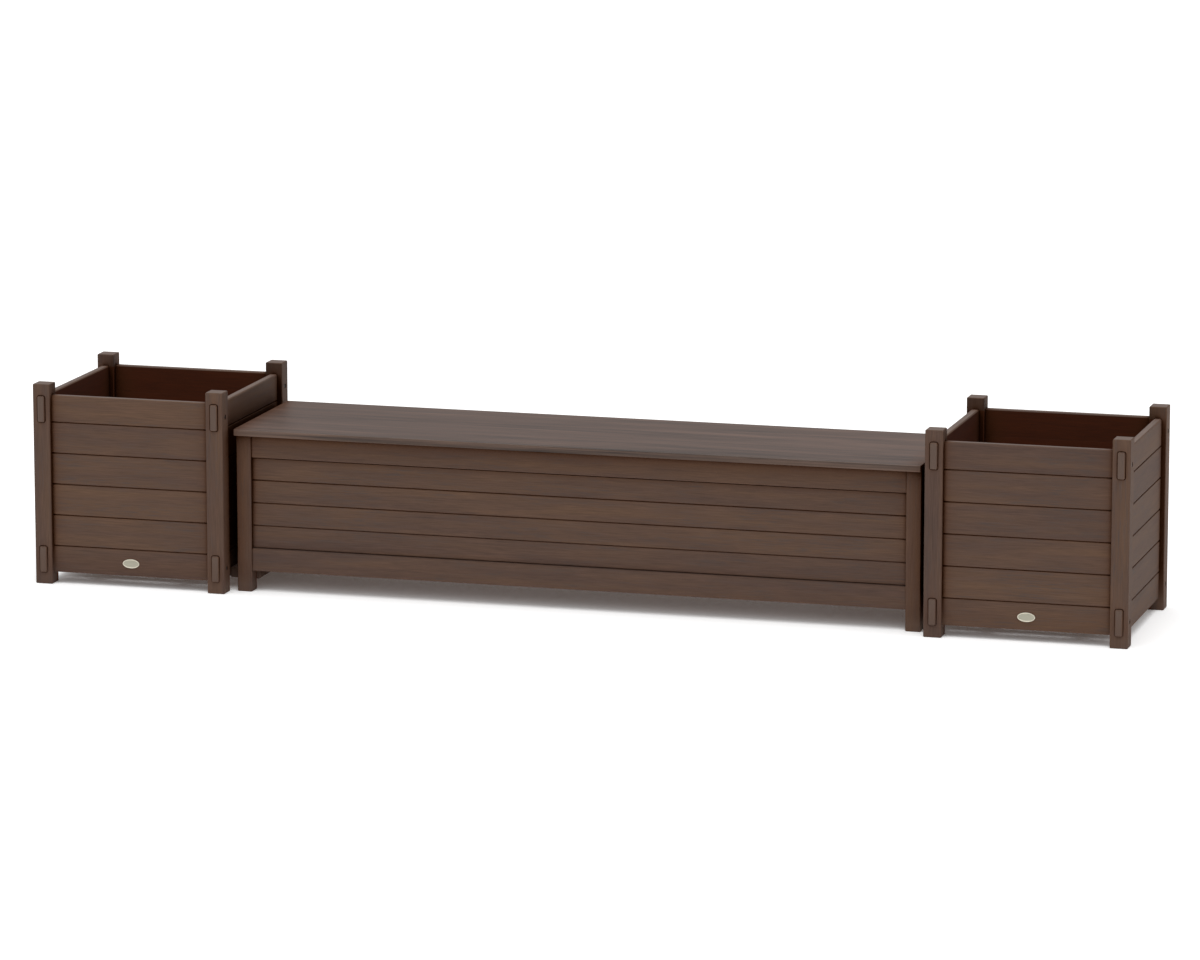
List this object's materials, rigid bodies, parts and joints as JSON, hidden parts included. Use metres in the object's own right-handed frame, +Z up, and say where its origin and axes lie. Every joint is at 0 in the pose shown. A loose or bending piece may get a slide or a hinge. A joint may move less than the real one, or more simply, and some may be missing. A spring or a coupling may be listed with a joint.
{
  "type": "storage bench with planters",
  "caption": "Long storage bench with a hinged one-piece lid, standing between square slatted planter boxes with proud corner posts and through tenons.",
  "frame": {"origin": "on the floor, under the middle of the bench", "axes": "+X along the bench, to the right for someone facing its front; +Y from the front to the back, where the lid's hinges are; +Z up"},
  "size_m": [3.08, 0.566, 0.562],
  "materials": {
    "plastic_lumber": "brown recycled plastic lumber, satin, with a fine wood-like grain along each board",
    "plastic_sheet": "brown plastic sheet, satin, with a faint grain along its length",
    "hinge_steel": "brushed stainless steel"
  },
  "bodies": {
    "bench_and_planters": {"bench_bottom_panel": "plastic_sheet", "bench_end_wall_left": "plastic_lumber", "bench_end_wall_right": "plastic_lumber", "bench_leg_back_left": "plastic_lumber", "bench_leg_back_right": "plastic_lumber", "bench_leg_front_left": "plastic_lumber", "bench_leg_front_right": "plastic_lumber", "bench_tie_left": "plastic_lumber", "bench_tie_right": "plastic_lumber", "bench_wall_back_boards": "plastic_lumber", "bench_wall_back_bottom_rail": "plastic_lumber", "bench_wall_back_top_rail": "plastic_lumber", "bench_wall_front_boards": "plastic_lumber", "bench_wall_front_bottom_rail": "plastic_lumber", "bench_wall_front_top_rail": "plastic_lumber", "hinge_1_fixed_leaf": "hinge_steel", "hinge_2_fixed_leaf": "hinge_steel", "hinge_3_fixed_leaf": "hinge_steel", "planter_left_cleat_far": "plastic_lumber", "planter_left_cleat_near": "plastic_lumber", "planter_left_floor": "plastic_lumber", "planter_left_post_back_far": "plastic_lumber", "planter_left_post_back_near": "plastic_lumber", "planter_left_post_front_far": "plastic_lumber", "planter_left_post_front_near": "plastic_lumber", "planter_left_wall_back_boards": "plastic_lumber", "planter_left_wall_back_bottom_rail": "plastic_lumber", "planter_left_wall_back_top_rail": "plastic_lumber", "planter_left_wall_far_boards": "plastic_lumber", "planter_left_wall_far_bottom_rail": "plastic_lumber", "planter_left_wall_far_top_rail": "plastic_lumber", "planter_left_wall_front_boards": "plastic_lumber", "planter_left_wall_front_bottom_rail": "plastic_lumber", "planter_left_wall_front_top_rail": "plastic_lumber", "planter_left_wall_near_boards": "plastic_lumber", "planter_left_wall_near_bottom_rail": "plastic_lumber", "planter_left_wall_near_top_rail": "plastic_lumber", "planter_right_cleat_far": "plastic_lumber", "planter_right_cleat_near": "plastic_lumber", "planter_right_floor": "plastic_lumber", "planter_right_post_back_far": "plastic_lumber", "planter_right_post_back_near": "plastic_lumber", "planter_right_post_front_far": "plastic_lumber", "planter_right_post_front_near": "plastic_lumber", "planter_right_wall_back_boards": "plastic_lumber", "planter_right_wall_back_bottom_rail": "plastic_lumber", "planter_right_wall_back_top_rail": "plastic_lumber", "planter_right_wall_far_boards": "plastic_lumber", "planter_right_wall_far_bottom_rail": "plastic_lumber", "planter_right_wall_far_top_rail": "plastic_lumber", "planter_right_wall_front_boards": "plastic_lumber", "planter_right_wall_front_bottom_rail": "plastic_lumber", "planter_right_wall_front_top_rail": "plastic_lumber", "planter_right_wall_near_boards": "plastic_lumber", "planter_right_wall_near_bottom_rail": "plastic_lumber", "planter_right_wall_near_top_rail": "plastic_lumber"},
    "lid": {"bench_lid": "plastic_sheet", "hinge_1_lid_leaf": "hinge_steel", "hinge_2_lid_leaf": "hinge_steel", "hinge_3_lid_leaf": "hinge_steel"}
  },
  "joints": [
    {"name": "lid_hinge", "type": "hinge", "parent": "bench_and_planters", "child": "lid", "pos_m": [0, 0.228, 0.439], "axis": [-1, 0, 0], "range_deg": [0, 100]}
  ]
}
